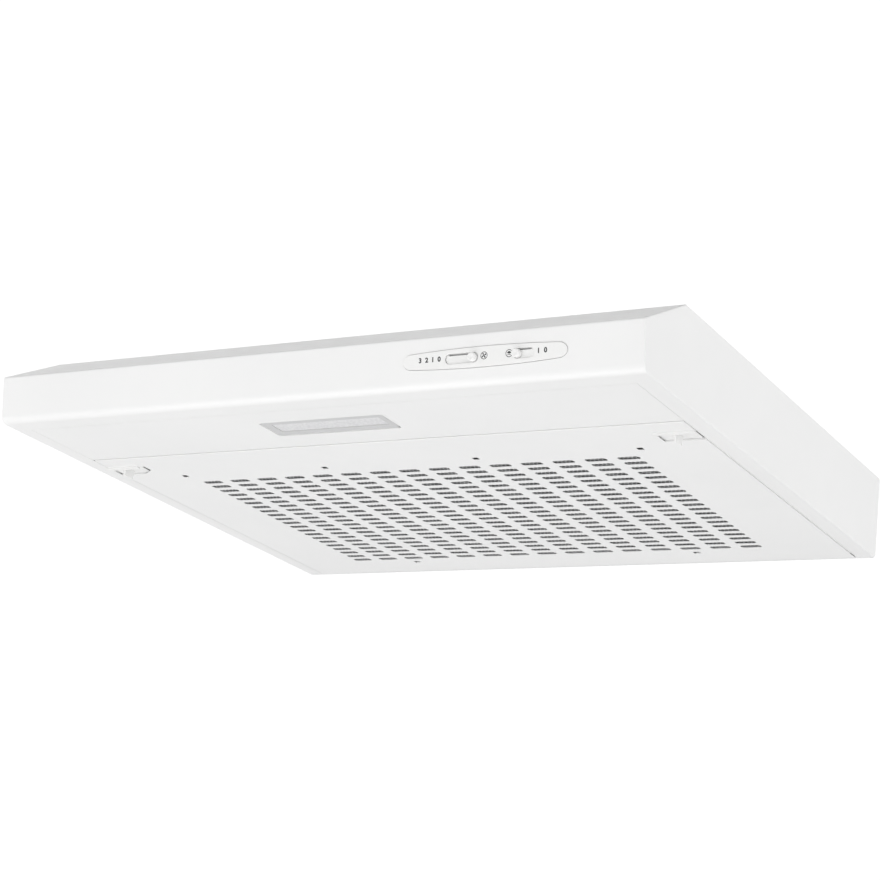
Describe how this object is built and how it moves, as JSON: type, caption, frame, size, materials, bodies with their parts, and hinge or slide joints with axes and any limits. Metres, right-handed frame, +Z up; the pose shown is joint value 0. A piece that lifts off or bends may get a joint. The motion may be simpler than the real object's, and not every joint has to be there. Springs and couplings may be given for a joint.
{
  "type": "under cabinet range hood",
  "caption": "Slim white under cabinet range hood with a sloped front, slide switches, a lamp, a hinged slotted grille panel over a grease filter, a blower and a top duct collar.",
  "frame": {"origin": "centre of the flat top, on the face that bears against the cabinet", "axes": "+X to the right seen from the front, +Y back towards the wall, +Z up"},
  "size_m": [0.6, 0.4897, 0.1196],
  "materials": {
    "white_paint": "satin powder coat",
    "white_plastic": "satin moulded",
    "lead_sheath": "matt sheath",
    "frosted_lens": "frosted, stippled",
    "bulb_glass": "opal",
    "brass": "plain",
    "aluminium": "satin",
    "filter_mesh": "expanded mesh",
    "zinc_plated": "zinc plated",
    "steel": "drawn",
    "copper_winding": "enamelled copper wire",
    "grey_plastic": "moulded",
    "black_plastic": "moulded",
    "rubber": "matt"
  },
  "bodies": {
    "hood": {"canopy_shell": "white_paint", "top_panel": "white_paint", "back_panel": "white_paint", "lamp_panel": "white_paint", "lamp_lens": "frosted_lens", "lamp_reflector": "aluminium", "lamp_holder": "white_plastic", "bulb_glass": "bulb_glass", "bulb_cap": "brass", "control_bezel": "white_plastic", "fan_switch": "black_plastic", "light_switch": "black_plastic", "switch_bracket": "zinc_plated", "hinge_bracket_left": "zinc_plated", "hinge_bracket_right": "zinc_plated", "hinge_pin_left": "steel", "hinge_pin_right": "steel", "blower_lower": "grey_plastic", "blower_upper": "grey_plastic", "inlet_guard": "grey_plastic", "blower_screw_1": "zinc_plated", "blower_screw_2": "zinc_plated", "blower_screw_3": "zinc_plated", "blower_screw_4": "zinc_plated", "motor_upper_shield": "zinc_plated", "motor_lower_shield": "zinc_plated", "stator_core": "steel", "stator_winding": "copper_winding", "motor_bearing_upper": "steel", "motor_bearing_lower": "steel", "outlet_collar": "black_plastic", "terminal_box": "white_plastic", "terminal_block": "white_plastic", "motor_capacitor": "grey_plastic", "cord_bushing": "rubber", "supply_lead": "lead_sheath", "switch_lead": "lead_sheath", "lamp_lead": "lead_sheath", "motor_lead": "lead_sheath"},
    "grille": {"grille_panel": "white_paint", "grease_filter": "filter_mesh", "retaining_wire_left": "steel", "retaining_wire_right": "steel", "latch_guide_left": "white_plastic", "latch_guide_right": "white_plastic", "latch_spring_left": "steel", "latch_spring_right": "steel"},
    "latch_left": {"latch_left": "white_plastic"},
    "latch_right": {"latch_right": "white_plastic"},
    "fan_slider": {"fan_slider": "white_plastic"},
    "light_slider": {"light_slider": "white_plastic"},
    "fan_wheel": {"fan_wheel": "grey_plastic", "motor_rotor": "aluminium", "motor_shaft": "steel"},
    "flap_front": {"flap_front": "black_plastic"},
    "flap_rear": {"flap_rear": "black_plastic"}
  },
  "joints": [
    {"name": "grille_hinge", "type": "hinge", "parent": "hood", "child": "grille", "pos_m": [0, 0.19965, -0.07], "axis": [1, 0, 0], "range_deg": [0, 80]},
    {"name": "latch_left_slide", "type": "slide", "parent": "grille", "child": "latch_left", "axis": [1, 0, 0], "range_m": [0, 0.0036], "stiffness_N_per_m": 300, "deforming": ["latch_spring_left"]},
    {"name": "latch_right_slide", "type": "slide", "parent": "grille", "child": "latch_right", "axis": [-1, 0, 0], "range_m": [0, 0.0036], "stiffness_N_per_m": 300, "deforming": ["latch_spring_right"]},
    {"name": "fan_slide", "type": "slide", "parent": "hood", "child": "fan_slider", "axis": [-1, 0, 0], "range_m": [0, 0.02]},
    {"name": "light_slide", "type": "slide", "parent": "hood", "child": "light_slider", "axis": [1, 0, 0], "range_m": [0, 0.01]},
    {"name": "fan_spin", "type": "hinge", "parent": "hood", "child": "fan_wheel", "pos_m": [-0.08, -0.03135, -0.03], "axis": [0, 0, 1], "continuous": true},
    {"name": "flap_front_swing", "type": "hinge", "parent": "hood", "child": "flap_front", "pos_m": [0, 0.12565, -0.008], "axis": [-1, 0, 0], "range_deg": [0, 75]},
    {"name": "flap_rear_swing", "type": "hinge", "parent": "hood", "child": "flap_rear", "pos_m": [0, 0.13165, -0.008], "axis": [1, 0, 0], "range_deg": [0, 75]}
  ]
}
